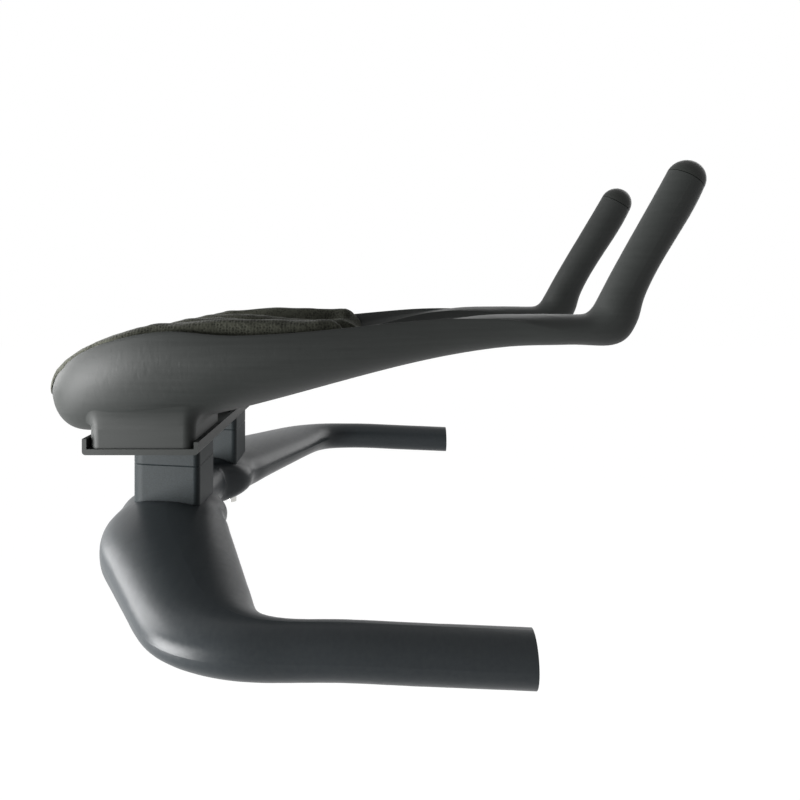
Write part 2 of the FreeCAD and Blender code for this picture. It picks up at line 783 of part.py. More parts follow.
def tilt(points, x):
    """Lowers the inner side of a section towards its rim."""
    width = half_width(x)
    depth = rim_height(x) - belly_height(x)
    lowered = []
    for across, up in points:
        side_share = (1.0 - across / width) / 2.0
        lowered.append((across, up - rim_drop(x) * side_share * (1.0 + up / depth)))
    return lowered


def placed(points, x):
    """Section points, given outwards and upwards from the rim's middle, in the left extension's place."""
    return [Vector(x, centre_y(x) + across, deck + rim_height(x) + up) for across, up in points]


def scoop_section(x):
    crown = half_width(x) - wall(x) / 2.0
    outline = [(crown, 0.0)] + lower_arc(x) + [(-crown, 0.0)] + upper_arc(x)[::-1]
    return placed(tilt(outline, x), x)


def grip_section(centre, angle, lean, width, heel, crotch):
    """An oval across the bend or the grip, deeper on its heel side."""
    outwards = Vector(math.sin(lean) * math.cos(angle), math.cos(lean), math.sin(lean) * math.sin(angle))
    upwards = Vector(-math.sin(angle), 0, math.cos(angle))
    outline = [(width, 0.0)] + arc(width, heel, ROUND) + [(-width, 0.0)] + arc(width, -crotch, ROUND)[::-1]
    return [centre + outwards * across + upwards * up for across, up in outline]


def scoop_stations():
    """Places along the scoop and its taper, closer together towards the round rear end."""
    rear = []
    for step in range(REAR_STEPS):
        angle = math.pi / 2.0 * step / REAR_STEPS
        share = between(TIP_SHARE, 1.0, 1.0 - math.cos(angle))
        rear.append(between(size("scoop_rear"), size("scoop_full"), share))
    shares = [step / TAPER_STEPS for step in range(TAPER_STEPS + 1)]
    return rear + [between(size("scoop_full"), size("neck_start"), share) for share in shares]


grip_angle = math.radians(size("grip_angle"))
grip_lean = math.radians(size("grip_lean"))
bend_reach = size("grip_bend_radius") * math.tan(grip_angle / 2.0)
bend_start = Vector(size("grip_corner") - bend_reach, size("grip_base_spacing") / 2.0, deck + neck_middle)
grip_axis = Vector(math.cos(grip_lean) * math.cos(grip_angle), -math.sin(grip_lean),
                   math.cos(grip_lean) * math.sin(grip_angle))


def bend_point(angle):
    """A point on the centre line of the bend between neck and grip."""
    return bend_start + Vector(math.sin(angle), 0, 1.0 - math.cos(angle)) * size("grip_bend_radius")


grip_base = bend_point(grip_angle)
grip_end = grip_base + grip_axis * size("grip_length")


def extension_sections():
    sections = [scoop_section(x) for x in scoop_stations()]
    for step in range(BEND_STEPS + 1):
        angle = grip_angle * step / BEND_STEPS
        share = smooth_step(step / BEND_STEPS)
        relief = size("heel_relief") * share ** HEEL_RELIEF_POWER
        heel = between(neck_half, size("grip_heel"), share) - relief
        crotch = between(neck_half, size("grip_crotch"), share)
        lean = grip_lean * share
        sections.append(grip_section(bend_point(angle), angle, lean, size("neck_half_width"), heel, crotch))
    for step in range(1, GRIP_STEPS + 1):
        share = smooth_step(step / GRIP_STEPS)
        centre = grip_base + grip_axis * (size("grip_taper") * step / GRIP_STEPS)
        width = between(size("neck_half_width"), grip_radius, share)
        heel = between(size("grip_heel") - size("heel_relief"), grip_radius, share)
        crotch = between(size("grip_crotch"), grip_radius, share)
        sections.append(grip_section(centre, grip_angle, grip_lean, width, heel, crotch))
    for share in (0.5, 1.0):
        centre = grip_base + grip_axis * between(size("grip_taper"), size("grip_length"), share)
        sections.append(grip_section(centre, grip_angle, grip_lean, grip_radius, grip_radius, grip_radius))
    return sections


scoop_loft = feature("scoop_loft", skin(extension_sections()))

boss_low = "sizes.boss_spacing / 2 - sizes.boss_width / 2"
boss_high = "sizes.boss_spacing / 2 + sizes.boss_width / 2"
boss_back = "sizes.bridge_rear + sizes.bridge_lip + sizes.boss_side_gap"
boss_nose = "sizes.bridge_front - sizes.bridge_lip - sizes.boss_side_gap"
boss_plan = [(boss_back, boss_low), (boss_nose, boss_low), (boss_nose, boss_high), (boss_back, boss_high)]
boss_body, boss_pad = pad_body("boss", "XY_Plane", boss_plan, "sizes.boss_height", {})
upright = edges_where(boss_pad, lambda middle, way: is_along(way.z))
fillet(boss_body, "boss_corners", boss_pad, upright, "sizes.boss_corner_radius")
boss_body.Placement.Base = Vector(0, 0, deck)

nut_pocket = doc.addObject("Part::Box", "nut_pocket")
bind(nut_pocket, {"Length": "sizes.nut_plate_length + 2 * sizes.nut_pocket_clearance",
                  "Width": "sizes.nut_plate_width + 2 * sizes.nut_pocket_clearance",
                  "Height": "sizes.nut_plate_thickness + sizes.nut_pocket_clearance + %g" % OVERRUN})
pocket_gap = size("nut_pocket_clearance")
nut_pocket.Placement.Base = nut_corner - Vector(pocket_gap, pocket_gap, OVERRUN)
left_extension_places = [place for place in extension_places if place.y > 0]
insert_bores = hole_set("insert_bore", left_extension_places, deck - OVERRUN,
                        "sizes.insert_length + sizes.bond_gap + %g" % OVERRUN,
                        "sizes.insert_diameter / 2 + sizes.bond_gap")
cap_socket = cylinder("cap_socket", {"Radius": "sizes.cap_plug_diameter / 2 + sizes.cap_plug_clearance",
                                     "Height": "sizes.cap_plug_length + %g" % (2.0 * OVERRUN)},
                      grip_end + grip_axis * OVERRUN, grip_axis * -1.0)
extension_blank = fuse("extension_blank", [scoop_loft, boss_body])
extension_tools = fuse("extension_tools", [nut_pocket, cap_socket] + insert_bores)
left_extension = cut("left_extension", extension_blank, extension_tools)
right_extension = mirror("right_extension", left_extension)

# Grip end cap: a dome with a plug that pushes into the grip
dome = doc.addObject("Part::Sphere", "cap_dome")
bind(dome, {"Radius": "sizes.grip_diameter / 2"})
dome.Angle1 = 0.0
plug_size = {"Radius": "sizes.cap_plug_diameter / 2", "Height": "sizes.cap_plug_length + %g" % OVERRUN}
plug = cylinder("cap_plug", plug_size, Vector(0, 0, -size("cap_plug_length")))
left_cap = fuse("left_grip_cap", [dome, plug])
cap_base = grip_end + grip_axis * size("cap_seam")
left_cap.Placement = FreeCAD.Placement(cap_base, FreeCAD.Rotation(UP, grip_axis))
right_cap = mirror("right_grip_cap", left_cap)

# Arm pad and its hook-and-loop sheet: layers that follow the scoop's floor
LAYER_STEPS = 9
LAYER_POINTS = 17
SHEET_SHARE = 0.66
EDGE_ANGLES = (45.0, 0.0, -45.0)
PAD_END_SHARE = 0.45
SLOPE_STEP = 0.5


def even_points(points, number):
    """A line of points, spread again at even distances."""
    line = Part.makePolygon([Vector(across, up, 0) for across, up in points])
    return [(point.x, point.y) for point in line.discretize(Number=number)]


def normals(points):
    """Unit vectors square to a line that runs from the outer to the inner side, pointing off the floor."""
    found = []
    for index in range(len(points)):
        before = points[max(index - 1, 0)]
        after = points[min(index + 1, len(points) - 1)]
        run = Vector(after[0] - before[0], after[1] - before[1], 0).normalize()
        found.append((run.y, -run.x))
    return found


def floor_line(x, stand):
    """The scoop's inside from rim to rim, carried a height above each rim."""
    side = half_width(x) - wall(x)
    line = [(side, stand)] + [(side, 0.0)] + upper_arc(x) + [(-side, 0.0), (-side, stand)]
    return even_points(line, 4 * LAYER_POINTS)


def slope(x):
    """How much farther apart two layers are in a cross section than square to the narrowing scoop."""
    narrowing = (half_width(x + SLOPE_STEP) - half_width(x - SLOPE_STEP)) / (2.0 * SLOPE_STEP)
    return math.hypot(1.0, narrowing)


def layer_section(line, gap, thickness, edge_angles):
    """A band that lies a gap off a line, with points round its edges at some angles."""
    middle = []
    for (across, up), (side, rise) in zip(line, normals(line)):
        offset = gap + thickness / 2.0
        middle.append((across + side * offset, up + rise * offset))
    middle = even_points(middle, LAYER_POINTS)
    half = thickness / 2.0
    under = []
    over = []
    for (across, up), (side, rise) in zip(middle, normals(middle)):
        under.append((across - side * half, up - rise * half))
        over.append((across + side * half, up + rise * half))
    inner_edge = round_edge(middle[-1], normals(middle)[-1], half, -1.0, edge_angles)
    outer_edge = round_edge(middle[0], normals(middle)[0], half, 1.0, edge_angles)
    return under + inner_edge + over[::-1] + outer_edge


def round_edge(centre, normal, half, turn, edge_angles):
    """Points round the free edge of a band."""
    points = []
    for degrees in edge_angles:
        angle = math.radians(degrees) * turn
        outwards = math.cos(angle) * half
        off_floor = math.sin(angle) * half
        along = (normal[1] * turn, -normal[0] * turn)
        points.append((centre[0] + along[0] * outwards + normal[0] * off_floor,
                       centre[1] + along[1] * outwards + normal[1] * off_floor))
    return points


def sheet_section(x):
    line = floor_line(x, 0.0)
    margin = int(len(line) * (1.0 - SHEET_SHARE) / 2.0)
    band = layer_section(line[margin:-margin], size("seat_gap"), size("fastener_thickness"), ())
    return placed(tilt(band, x), x)


def pad_stand(x):
    """How high the pad's edge stands above the rim: most by the elbow, less at both ends."""
    rise = smooth_step((x - size("pad_stand_start")) / (size("pad_stand_end") - size("pad_stand_start")))
    fall = smooth_step((x - size("pad_fall_start")) / (size("pad_front") - size("pad_fall_start")))
    return between(size("pad_rear_stand"), size("pad_stand"), rise) - size("pad_front_fall") * fall


def pad_section(x, thinning):
    seat = (size("seat_gap") + size("fastener_thickness") + size("pad_gap")) * slope(x)
    thickness = size("pad_thickness") * thinning
    line = floor_line(x, pad_stand(x) - thickness / 2.0)
    return placed(tilt(layer_section(line, seat, thickness, EDGE_ANGLES), x), x)


def layer_places(rear, front):
    return [between(rear, front, step / LAYER_STEPS) for step in range(LAYER_STEPS + 1)]


left_fastener = feature("left_pad_fastener", skin([
    sheet_section(x) for x in layer_places(size("fastener_rear"), size("fastener_front"))]))
pad_sections = [pad_section(size("pad_rear"), PAD_END_SHARE)]
for x in layer_places(size("pad_rear") + size("pad_end_round"), size("pad_front") - size("pad_end_round")):
    pad_sections.append(pad_section(x, 1.0))
pad_sections.append(pad_section(size("pad_front"), PAD_END_SHARE))
left_pad = feature("left_arm_pad", skin(pad_sections))
right_fastener = mirror("right_pad_fastener", left_fastener)
right_pad = mirror("right_arm_pad", left_pad)

doc.recompute()

subparts = [
    base_bar, left_thick, right_thick, left_thin, right_thin, cross_bridge,
    riser_bolts, riser_washers, left_nut, right_nut,
    extension_screws, extension_inserts,
    left_extension, right_extension, left_cap, right_cap,
    left_fastener, right_fastener, left_pad, right_pad,
]
for thing in doc.Objects:
    if "Invalid" in thing.State or "Error" in thing.State:
        raise RuntimeError("failed object: " + thing.Name)
os.makedirs("parts", exist_ok=True)
for thing in subparts:
    if thing.Shape.isNull() or not thing.Shape.isValid():
        raise RuntimeError("bad shape: " + thing.Label)
    thing.Shape.exportStep("parts/%s.step" % thing.Label)
    print("%-24s %8.0f mm3 %d solids" % (thing.Label, thing.Shape.Volume, len(thing.Shape.Solids)))
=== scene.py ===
import math
import bpy
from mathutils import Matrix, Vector
from mathutils.bvhtree import BVHTree


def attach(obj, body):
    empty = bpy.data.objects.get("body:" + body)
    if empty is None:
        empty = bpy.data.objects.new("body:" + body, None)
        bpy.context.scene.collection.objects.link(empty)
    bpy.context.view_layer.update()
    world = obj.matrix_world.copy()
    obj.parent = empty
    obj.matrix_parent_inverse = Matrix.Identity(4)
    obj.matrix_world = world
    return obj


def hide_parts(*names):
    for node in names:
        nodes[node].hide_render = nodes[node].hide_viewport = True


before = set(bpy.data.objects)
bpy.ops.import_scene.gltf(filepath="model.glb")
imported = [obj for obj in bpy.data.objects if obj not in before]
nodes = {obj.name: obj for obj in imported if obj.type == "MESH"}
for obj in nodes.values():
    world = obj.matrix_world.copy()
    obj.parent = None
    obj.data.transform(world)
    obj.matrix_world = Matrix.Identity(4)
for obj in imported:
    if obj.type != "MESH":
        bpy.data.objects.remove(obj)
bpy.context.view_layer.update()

bpy.context.scene.view_settings.view_transform = "Standard"

# Camera: level with the lower half of the grips, square to the bar's right side and close to it, so that the
# near horn and scoop look much larger than the far ones. The shift only sets the framing.
camera_place = (0.125, -0.484, 0.140)
picture_side = 800.0
focal_pixels = 731.0
aim_column = 383.0
aim_row = 283.0
sensor_side = 36.0
bpy.ops.object.select_all(action="DESELECT")
bpy.ops.object.camera_add(location=camera_place, rotation=(math.pi / 2.0, 0.0, 0.0))
camera = bpy.context.object
camera.data.sensor_width = sensor_side
camera.data.lens = sensor_side * focal_pixels / picture_side
camera.data.shift_x = (picture_side / 2.0 - aim_column) / picture_side
camera.data.shift_y = (aim_row - picture_side / 2.0) / picture_side
bpy.context.scene.camera = camera

# Base bar: a hollow carbon fibre wing with horns, moulded in one piece under satin lacquer. The plies run
# along the wing, which shows as faint streaks, and the lacquer has the fine ripple of a sprayed coat.
tow_low = 0.3
tow_high = 0.7
tow_sheen_spread = 0.04
lacquer_ripple = 0.00111


def linear(hex_colour):
    """An sRGB hex colour as linear values with alpha."""
    shares = [int(hex_colour[start:start + 2], 16) / 255.0 for start in (1, 3, 5)]
    values = [share / 12.92 if share <= 0.04045 else ((share + 0.055) / 1.055) ** 2.4 for share in shares]
    return values + [1.0]


def add_node(material, kind, settings=None, inputs=None, links=None):
    """A shader node with its settings, its inputs' values, and links into it from other nodes' outputs."""
    made = material.node_tree.nodes.new(kind)
    for name, value in (settings or {}).items():
        setattr(made, name, value)
    for name, value in (inputs or {}).items():
        made.inputs[name].default_value = value
    for name, output in (links or {}).items():
        material.node_tree.links.new(output, made.inputs[name])
    return made


def new_material(name, values):
    """A node material with these values in its surface shader, and that shader."""
    material = bpy.data.materials.new(name)
    material.use_nodes = True
    shader = material.node_tree.nodes["Principled BSDF"]
    for socket, value in values.items():
        shader.inputs[socket].default_value = value
    return material, shader


def ramp_colours(ramp, colours, ends):
    """Sets the two ends of a colour ramp."""
    for element, colour, end in zip(ramp.color_ramp.elements, colours, ends):
        element.position = end
        element.color = linear(colour)


def dress(node_names, material):
    """Gives CAD nodes a finish."""
    for name in node_names:
        nodes[name].data.materials.clear()
        nodes[name].data.materials.append(material)


def carbon_moulding(name, colours, tow_size, dullness):
    """Satin lacquered carbon fibre: streaks of tows of a size along each axis, under rippled lacquer."""
    material, shader = new_material(name, {"IOR": 1.5, "Specular IOR Level": 0.2})
    place = add_node(material, "ShaderNodeTexCoord")
    stretched = add_node(material, "ShaderNodeMapping", inputs={"Scale": [1.0 / size for size in tow_size]},
                         links={"Vector": place.outputs["Object"]})
    tows = add_node(material, "ShaderNodeTexNoise", inputs={"Scale": 1.0, "Detail": 3.0, "Roughness": 0.6},
                    links={"Vector": stretched.outputs["Vector"]})
    tow_colour = add_node(material, "ShaderNodeValToRGB", links={"Fac": tows.outputs["Fac"]})
    ramp_colours(tow_colour, colours, (tow_low, tow_high))
    tow_sheen = add_node(material, "ShaderNodeMapRange", links={"Value": tows.outputs["Fac"]},
                         inputs={"From Min": tow_low, "From Max": tow_high,
                                 "To Min": dullness, "To Max": dullness + tow_sheen_spread})
    ripple = add_node(material, "ShaderNodeTexNoise", inputs={"Scale": 1.0 / lacquer_ripple, "Detail": 1.0},
                      links={"Vector": place.outputs["Object"]})
    bump = add_node(material, "ShaderNodeBump", inputs={"Strength": 0.05, "Distance": 0.0002},
                    links={"Height": ripple.outputs["Fac"]})
    material.node_tree.links.new(tow_colour.outputs["Color"], shader.inputs["Base Color"])
    material.node_tree.links.new(tow_sheen.outputs["Result"], shader.inputs["Roughness"])
    material.node_tree.links.new(bump.outputs["Normal"], shader.inputs["Normal"])
    return material


wing_tow = (0.002, 0.05, 0.002)
wing_carbon = carbon_moulding("satin_carbon_fibre_wing", ("#23272a", "#272b2d"), wing_tow, 0.34)
dress(["base_bar"], wing_carbon)

# Riser stacks: moulded blocks of glass-filled nylon, a thick and a thin one on each side, bolted through from
# under the bar. The mould leaves them a dull, evenly grained face. The real grain is finer than this one,
# which is as coarse as it needs to be to show.
nylon_grain = 0.000714


def colour_and_bumps(material, shader, height, colours, ends, bump):
    """Lets a pattern set a finish's colour, between two of its heights, and its fine bumps."""
    colour = add_node(material, "ShaderNodeValToRGB", links={"Fac": height})
    ramp_colours(colour, colours, ends)
    bumps = add_node(material, "ShaderNodeBump", inputs=bump, links={"Height": height})
    material.node_tree.links.new(colour.outputs["Color"], shader.inputs["Base Color"])
    material.node_tree.links.new(bumps.outputs["Normal"], shader.inputs["Normal"])


spacer_nylon, shader = new_material("black_glass_filled_nylon",
                                    {"IOR": 1.53, "Specular IOR Level": 0.1, "Roughness": 0.55})
place = add_node(spacer_nylon, "ShaderNodeTexCoord")
grain = add_node(spacer_nylon, "ShaderNodeTexNoise", inputs={"Scale": 1.0 / nylon_grain, "Detail": 2.0},
                 links={"Vector": place.outputs["Object"]})
colour_and_bumps(spacer_nylon, shader, grain.outputs["Fac"], ("#1b1f20", "#212628"), (0.35, 0.65),
                 {"Strength": 0.12, "Distance": 0.0002})
dress(["left_thick_spacer", "right_thick_spacer", "left_thin_spacer", "right_thin_spacer"], spacer_nylon)

# Cross bridge: a carbon channel plate laid across both risers, its lips turned up round the extensions' feet.
# It is pressed flat, so its plies run across the bar and its lacquer is duller than the wing's.
bridge_tow = (0.002, 0.04, 0.002)
bridge_carbon = carbon_moulding("satin_carbon_fibre_plate", ("#242625", "#282a29"), bridge_tow, 0.50)
dress(["cross_bridge"], bridge_carbon)

# Bolts, screws, washers, nut plates and inserts: stainless steel, turned and left bright, so that fine rings
# run round each head. They clamp the risers, the bridge and the extensions to the bar.
ring_spacing = 0.00025
ring_patch = 0.00333
steel, shader = new_material("turned_stainless_steel", {"Metallic": 1.0, "Base Color": linear("#c9c8c4")})
place = add_node(steel, "ShaderNodeTexCoord")
ring_scale = (1.0 / ring_patch, 1.0 / ring_patch, 1.0 / ring_spacing)
turned = add_node(steel, "ShaderNodeMapping", inputs={"Scale": ring_scale},
                  links={"Vector": place.outputs["Object"]})
rings = add_node(steel, "ShaderNodeTexNoise", inputs={"Scale": 1.0, "Detail": 2.0},
                 links={"Vector": turned.outputs["Vector"]})
ring_sheen = add_node(steel, "ShaderNodeMapRange", links={"Value": rings.outputs["Fac"]},
                      inputs={"From Min": 0.3, "From Max": 0.7, "To Min": 0.22, "To Max": 0.38})
steel.node_tree.links.new(ring_sheen.outputs["Result"], shader.inputs["Roughness"])
dress(["riser_bolts", "riser_bolt_washers", "left_nut_plate", "right_nut_plate", "extension_screws",
       "extension_inserts"], steel)

# Forearm extensions: each a scoop, neck and upright grip moulded in one piece of carbon fibre, bonded to
# threaded inserts. The plies run along the arm.
arm_tow = (0.05, 0.01, 0.002)
arm_carbon = carbon_moulding("satin_carbon_fibre_arm", ("#242625", "#282a29"), arm_tow, 0.50)
dress(["left_extension", "right_extension"], arm_carbon)

# Boss blends: the moulding's round inside corner where each boss grows out of its scoop. Each section is a
# curve that leaves the boss's face and meets the scoop's belly smoothly, so that no crease is left between
# them. The rest of the section is buried in the moulding.
boss_rear = -0.0353
boss_front = 0.0223
boss_inner = 0.0245
boss_outer = 0.0875
boss_corner = 0.006
boss_probe_height = 0.0605
corner_steps = 8
edge_steps = 16
blend_setback = 0.0085
blend_steps = 8
blend_crease = 0.7
buried = 0.0012
# The belly is found by a fan of rays from a place out from the boss's face
fan_distance = 0.012
fan_reach = 0.05
fan_turn = math.radians(1.0)
fan_rays = 130
contact_probe = 0.0003
belly_start = 0.0004
least_length = 0.00001
upwards = Vector((0.0, 0.0, 1.0))


def surface_tree(node):
    """A node's faces, ready to be found by rays."""
    mesh = nodes[node].data
    points = [point.co for point in mesh.vertices]
    return BVHTree.FromPolygons(points, [list(face.vertices) for face in mesh.polygons])


def face_outwards():
    """Turns the faces of the mesh in hand outwards."""
    bpy.ops.object.mode_set(mode="EDIT")
    bpy.ops.mesh.select_all(action="SELECT")
    bpy.ops.mesh.normals_make_consistent(inside=False)
    bpy.ops.object.mode_set(mode="OBJECT")


def boss_outline(side):
    """Places round the boss's foot, each with the way out from its face."""
    front = boss_front - boss_corner
    rear = boss_rear + boss_corner
    outer = boss_outer - boss_corner
    inner = boss_inner + boss_corner
    middles = [(front, outer), (rear, outer), (rear, inner), (front, inner)]
    places = []
    for number, (x, y) in enumerate(middles):
        for step in range(corner_steps + 1):
            angle = math.pi / 2.0 * (number + step / corner_steps)
            way = Vector((math.cos(angle), math.sin(angle), 0.0))
            places.append((Vector((x, y, boss_probe_height)) + way * boss_corner, way))
        next_x, next_y = middles[(number + 1) % len(middles)]
        start, way = places[-1]
        finish = Vector((next_x, next_y, boss_probe_height)) + way * boss_corner
        for step in range(1, edge_steps):
            places.append((start.lerp(finish, step / edge_steps), way))
    to_side = Vector((1.0, side, 1.0))
    return [(foot * to_side, way * to_side) for foot, way in places]


def blend_section(tree, foot, way):
    """Places out from the boss's face and up, in a loop whose front is the blend's curve."""
    contact = tree.ray_cast(foot + way * contact_probe, upwards)[0].z
    walked = 0.0
    last = (0.0, contact)
    meet = None
    origin = foot + way * fan_distance
    for number in range(fan_rays):
        angle = math.pi - number * fan_turn
        hit = tree.ray_cast(origin, way * math.cos(angle) + upwards * math.sin(angle), fan_reach)[0]
        if hit is None:
            break
        out = (hit - foot).dot(way)
        if out > belly_start:
            step = math.hypot(out - last[0], hit.z - last[1])
            if walked + step > blend_setback:
                share = (blend_setback - walked) / step
                meet = (last[0] + (out - last[0]) * share, last[1] + (hit.z - last[1]) * share)
                break
            walked += step
            last = (out, hit.z)
    meet = meet or last
    low = max(contact - blend_setback, foot.z)
    length = max(math.hypot(meet[0], meet[1] - contact), least_length)
    inward = (-(meet[1] - contact) / length * buried, meet[0] / length * buried)
    curve = []
    for step in range(blend_steps + 1):
        t = step / blend_steps
        height = (1.0 - t) ** 2 * low + 2.0 * t * (1.0 - t) * contact + t * t * meet[1]
        curve.append((t * t * meet[0], height))
    back = [(meet[0] + inward[0], meet[1] + inward[1]), (-buried, contact + buried)]
    return [(-buried, low)] + curve + back


def boss_blend(name, node, side):
    """A ring with the blend's section all round one boss."""
    tree = surface_tree(node)
    points = []
    outline = boss_outline(side)
    for foot, way in outline:
        for out, up in blend_section(tree, foot, way):
            points.append((foot.x + way.x * out, foot.y + way.y * out, up))
    bpy.ops.object.select_all(action="DESELECT")
    bpy.ops.mesh.primitive_torus_add(major_segments=len(outline), minor_segments=len(points) // len(outline))
    blend = bpy.context.object
    blend.name = name
    for corner, place in zip(blend.data.vertices, points):
        corner.co = place
    face_outwards()
    bpy.ops.object.shade_smooth_by_angle(angle=blend_crease)
    blend.data.materials.append(arm_carbon)
    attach(blend, "root")


boss_blend("left_boss_blend", "left_extension", 1.0)
boss_blend("right_boss_blend", "right_extension", -1.0)

# Grip caps: moulded rubber domes with a plug that is pushed into the end of each grip. The mould is spark
# eroded, which leaves a fine matt grain, drawn here as coarse as it needs to be to show.
eroded_grain = 0.000556
rubber, shader = new_material("moulded_black_rubber",
                              {"IOR": 1.5, "Specular IOR Level": 0.2, "Roughness": 0.5})
place = add_node(rubber, "ShaderNodeTexCoord")
erosion = add_node(rubber, "ShaderNodeTexNoise", inputs={"Scale": 1.0 / eroded_grain, "Detail": 2.0},
                   links={"Vector": place.outputs["Object"]})
colour_and_bumps(rubber, shader, erosion.outputs["Fac"], ("#1c1e1c", "#242624"), (0.35, 0.65),
                 {"Strength": 0.15, "Distance": 0.0002})
dress(["left_grip_cap", "right_grip_cap"], rubber)

# Hook-and-loop sheets: black nylon loops on a woven backing, glued to the scoop's floor under each pad. The
# pile is dull, with dark specks between the loops.
loop_spacing = 0.00091
loops, shader = new_material("black_nylon_loop_pile", {"Roughness": 0.95, "Sheen Weight": 0.3})
place = add_node(loops, "ShaderNodeTexCoord")
pile = add_node(loops, "ShaderNodeTexVoronoi", inputs={"Scale": 1.0 / loop_spacing},
                links={"Vector": place.outputs["Object"]})
colour_and_bumps(loops, shader, pile.outputs["Distance"], ("#0d0d0d", "#232323"), (0.1, 0.7),
                 {"Strength": 0.5, "Distance": 0.0005})
dress(["left_pad_fastener", "right_pad_fastener"], loops)

# Arm pads: soft foam under a stretched knit cover, pressed onto the hook-and-loop sheet. The foam fills the
# cover, so each pad is simulated as a sealed cushion that swells a little. The knit's cells show as dark dots
# between paler threads.
knit_spacing = 0.00161
cover_knit, shader = new_material("olive_grey_spacer_knit",
                                  {"Roughness": 0.85, "Specular IOR Level": 0.15,
                                   "Sheen Weight": 0.1, "Sheen Roughness": 0.5})
place = add_node(cover_knit, "ShaderNodeTexCoord")
cells = add_node(cover_knit, "ShaderNodeTexVoronoi", inputs={"Scale": 1.0 / knit_spacing, "Randomness": 0.55},
                 links={"Vector": place.outputs["Object"]})
colour_and_bumps(cover_knit, shader, cells.outputs["Distance"], ("#1b1c16", "#393a32"), (0.12, 0.5),
                 {"Strength": 0.6, "Distance": 0.0006})

# The cushion, and how far it swells
pad_thickness = 0.008
under_gap = 0.002
pad_undersize = 0.0006
pad_voxel = 0.0018
pad_swell = 0.0015
pad_pressure = 4.0
swell_frames = 20
relax_rounds = 18
settle_rounds = 6
merge_distance = 0.00001
# Its fuller front and its round nose
front_fill = 0.0036
fill_start = 0.008
fill_end = 0.045
nose_round = 0.010
nose_low = 0.25
nose_fall = 0.004
lean_most = 0.98
# The search for the rim that its lip lies on
ray_top = 0.3
downwards = Vector((0.0, 0.0, -1.0))
scoop_middle_x = 0.014
scoop_middle_y = 0.060
rim_outside = 0.085
rim_inside = 0.03
rim_probe = 0.0004
crown_search = 0.008
# The lip, as heights above the rim's crown and distances out from it
lip_stations = 48
lip_limit = math.radians(80.0)
crown_evening = 2
inner_evening = 10
lip_low = 0.0028
lip_rise = 0.0026
lip_tuck_most = 0.007
lip_tuck_start = 0.6
lip_shoulder = 0.0006
shoulder_share = 0.8
lip_crest = -0.004
lip_thickness = 0.004
lip_over_pad = 0.001
lip_over_rim = 0.0005
lip_under = -0.003
lip_inner_places = (-0.009, -0.0145, -0.020)
inner_tuck_share = 0.5
sunk_in_pad = 0.0007
hollow_fill = (0.5, 0.7)
# The lip's hem, which hangs outside the rim at the rear
hem_end = 0.55
hem_drop = 0.0095
hem_steps = 3
hem_ray_start = 0.03
hem_ray_reach = 0.045
hem_out_most = 0.006
hem_outer_face = 0.0018
hem_inner_face = 0.0004
hem_outer_lift = 0.0008
hem_inner_lift = 0.0006


def within(value, most=1.0):
    """A value kept between nought and a limit."""
    return min(max(value, 0.0), most)


def eased(share):
    """A share from nought to one that starts and ends gently."""
    return share * share * (3.0 - 2.0 * share)


def crown_point(tree, middle, way):
    """The highest point of the rim along a way out from the scoop's middle."""
    best = None
    first = None
    out = rim_outside
    while out > rim_inside:
        above = Vector((middle.x + way.x * out, middle.y + way.y * out, ray_top))
        hit = tree.ray_cast(above, downwards)[0]
        if hit is not None:
            first = out if first is None else first
            if best is None or hit.z > best.z:
                best = hit
            if first - out > crown_search:
                break
        out -= rim_probe
    return best


def lip_height(share):
    """How far the lip stands above the rim's crown."""
    return lip_low + lip_rise * share


def lip_tuck(share):
    """How far the lip draws in from the rim, at its ends."""
    return lip_tuck_most * max(share - lip_tuck_start, 0.0) / (1.0 - lip_tuck_start)


def inner_heights(pad_tree, crown, way, share):
    """The pad's top above the crown, where the lip runs into the pad, with no hollow between."""
    height = lip_height(share)
    found = []
    for out in lip_inner_places:
        above = Vector((crown.x + way.x * out, crown.y + way.y * out, ray_top))
        hit = pad_tree.ray_cast(above, downwards)[0]
        found.append(height + lip_over_pad if hit is None else hit.z - crown.z - sunk_in_pad)
    for number in (1, 0):
        found[number] = max(found[number], height + (found[number + 1] - height) * hollow_fill[number])
    return found


def evened(rows, passes):
    """Rows of numbers, each averaged with its neighbours."""
    for turn in range(passes):
        before = [rows[0]] + rows[:-1]
        after = rows[1:] + [rows[-1]]
        rows = [[(a + 2.0 * b + c) / 4.0 for a, b, c in zip(*three)] for three in zip(before, rows, after)]
    return rows


def lip_section(tree, crown, way, share, heights):
    """The lip's section: a strap from the pad over the rim's crown, and down outside it at the rear."""
    hem = eased(1.0 - min(share / hem_end, 1.0))
    height = lip_height(share)
    tuck = lip_tuck(share)
    outside = []
    inside = []
    for step in range(hem_steps, 0, -1):
        up = -hem_drop * hem * step / hem_steps
        level = crown + way * hem_ray_start + upwards * up
        distance = tree.ray_cast(level, -way, hem_ray_reach)[3]
        face_out = 0.0 if distance is None else within(hem_ray_start - distance, hem_out_most) * hem
        outside.append((face_out + hem_outer_face - tuck, up + hem_outer_lift * (1.0 - hem)))
        inside.insert(0, (face_out + hem_inner_face - tuck, up + hem_inner_lift * (1.0 - hem)))
    inner = list(zip(lip_inner_places, heights))
    inner[0] = (inner[0][0] - inner_tuck_share * tuck, inner[0][1])
    shoulder = (lip_shoulder - tuck, height * shoulder_share)
    crest = (lip_crest - tuck, min(height, inner[0][1] + lip_over_pad))
    under = [(out, up - lip_thickness) for out, up in reversed(inner)]
    on_rim = [(lip_under - tuck, lip_over_rim), (-tuck, lip_over_rim)]
    return outside + [shoulder, crest] + inner + under + on_rim + inside


